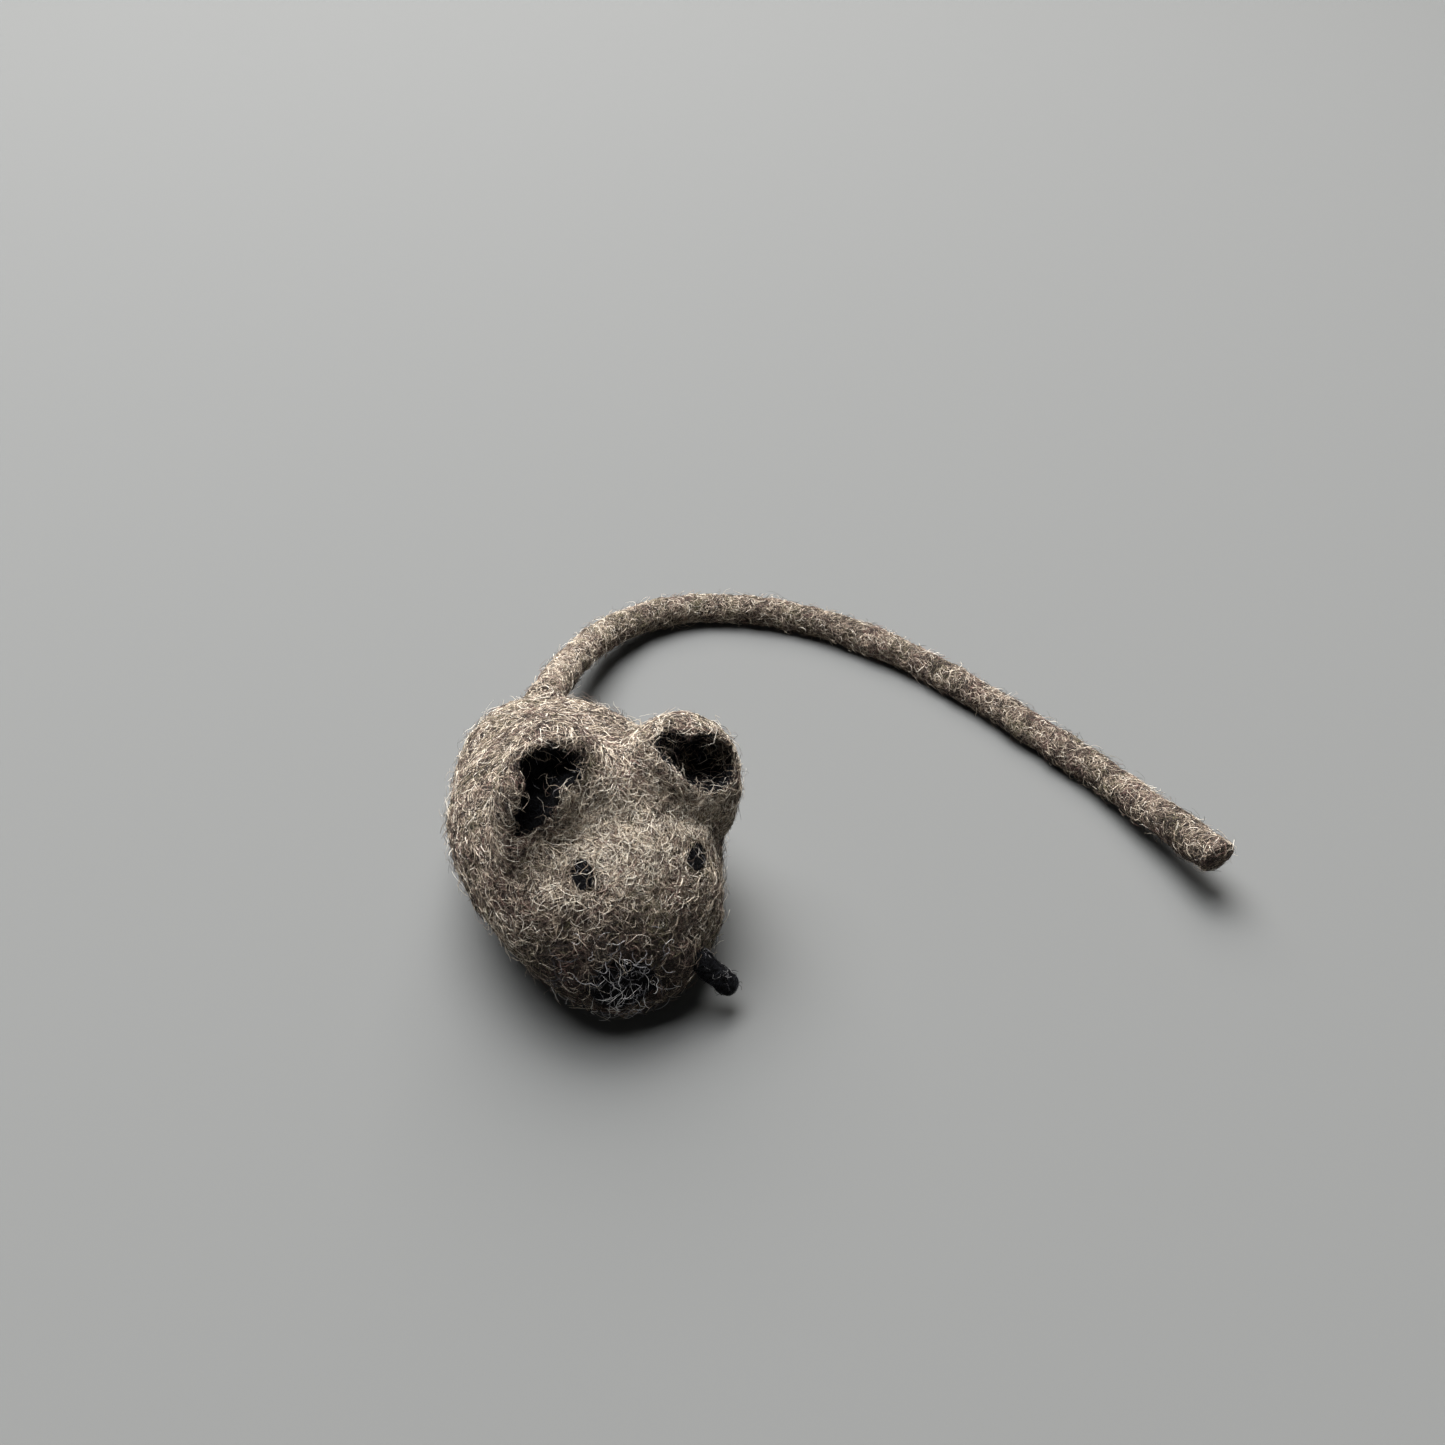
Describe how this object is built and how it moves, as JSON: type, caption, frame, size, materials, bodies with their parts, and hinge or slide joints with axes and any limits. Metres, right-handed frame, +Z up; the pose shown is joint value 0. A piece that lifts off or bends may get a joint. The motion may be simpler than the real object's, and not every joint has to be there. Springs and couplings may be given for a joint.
{
  "type": "needle-felted wool mouse",
  "caption": "Small needle-felted mouse lying rolled onto one side, with cupped black-lined ears, black nose, eyes and paws, and a long felt rope tail curling round.",
  "frame": {"origin": "on the surface the toy lies on, under the middle of its body, ears and paws (the tail is not counted)", "axes": "-Y towards the nose, +Y towards the rump, +X towards the toy's own left side, +Z up from the surface it lies on"},
  "size_m": [0.1307, 0.1228, 0.0475],
  "materials": {
    "grey_brown_wool": "needle-felted, mottled, fibrous",
    "core_wool": "tightly needled wool",
    "black_wool": "needle-felted, matte",
    "tail_felt": "rolled felt rope, matte"
  },
  "bodies": {
    "mouse": {"core": "core_wool", "coat": "grey_brown_wool", "left_eye": "black_wool", "right_eye": "black_wool", "nose": "black_wool", "right_paw": "black_wool"},
    "left_ear": {"left_ear": "grey_brown_wool", "left_ear_lining": "black_wool"},
    "right_ear": {"right_ear": "grey_brown_wool", "right_ear_lining": "black_wool"},
    "left_paw": {"left_paw": "black_wool"},
    "tail": {"tail_root": "grey_brown_wool", "tail": "tail_felt"}
  },
  "joints": [
    {"name": "tail_sway", "type": "hinge", "parent": "mouse", "child": "tail", "pos_m": [-0.00167, 0.0291, 0.0142], "axis": [0, 0, 1], "range_deg": [-20, 35]},
    {"name": "left_ear_flex", "type": "hinge", "parent": "mouse", "child": "left_ear", "pos_m": [0.01398, -0.0053, 0.02772], "axis": [0.9781, 0, -0.2079], "range_deg": [-8, 8], "stiffness_Nm_per_rad": 0.002},
    {"name": "right_ear_flex", "type": "hinge", "parent": "mouse", "child": "right_ear", "pos_m": [-0.00989, -0.0053, 0.0328], "axis": [0.9781, 0, -0.2079], "range_deg": [-8, 8], "stiffness_Nm_per_rad": 0.002},
    {"name": "left_paw_flex", "type": "hinge", "parent": "mouse", "child": "left_paw", "pos_m": [0.00695, -0.0292, 0.01102], "axis": [0, 0, 1], "range_deg": [-12, 12], "stiffness_Nm_per_rad": 0.002}
  ]
}
